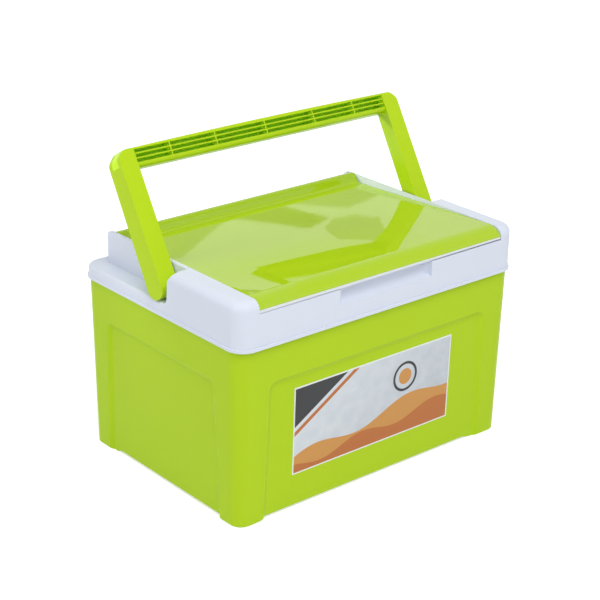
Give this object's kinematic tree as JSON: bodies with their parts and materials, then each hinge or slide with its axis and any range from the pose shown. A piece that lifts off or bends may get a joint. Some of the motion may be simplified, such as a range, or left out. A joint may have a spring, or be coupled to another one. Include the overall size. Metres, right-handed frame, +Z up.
{
  "type": "insulated cooler box",
  "caption": "Insulated picnic cooler box with a foamed tapered tub, a pale collar, a rear-hinged lid with a rolled front edge and a swinging bail handle with a ribbed grip.",
  "frame": {"origin": "centre of the footprint on the floor under the feet", "axes": "+X along the front to the right, +Y to the hinge side at the back, +Z up"},
  "size_m": [0.3824, 0.2708, 0.3467],
  "materials": {
    "shell_lime": "satin",
    "lid_lime": "gloss",
    "handle_lime": "satin",
    "collar_white": "satin",
    "liner_white": "satin",
    "foam": "matte",
    "pin_steel": "satin",
    "label": "satin"
  },
  "bodies": {
    "base": {"outer_shell": "shell_lime", "foam_tub": "foam", "inner_liner": "liner_white", "rim_collar": "collar_white", "front_label": "label", "handle_pivot_left": "collar_white", "handle_pivot_right": "collar_white"},
    "lid": {"lid_cover": "lid_lime", "lid_foam": "foam", "lid_liner": "liner_white", "lid_hinge_pin_left": "pin_steel", "lid_hinge_pin_right": "pin_steel"},
    "handle": {"carry_handle": "handle_lime"}
  },
  "joints": [
    {"name": "handle_swing", "type": "hinge", "parent": "base", "child": "handle", "pos_m": [0, 0.0003, 0.2186], "axis": [1, 0, 0], "range_deg": [-59.6, 30.3]},
    {"name": "lid_hinge", "type": "hinge", "parent": "base", "child": "lid", "pos_m": [0, 0.1023, 0.2373], "axis": [-1, 0, 0], "range_deg": [0, 40]}
  ]
}
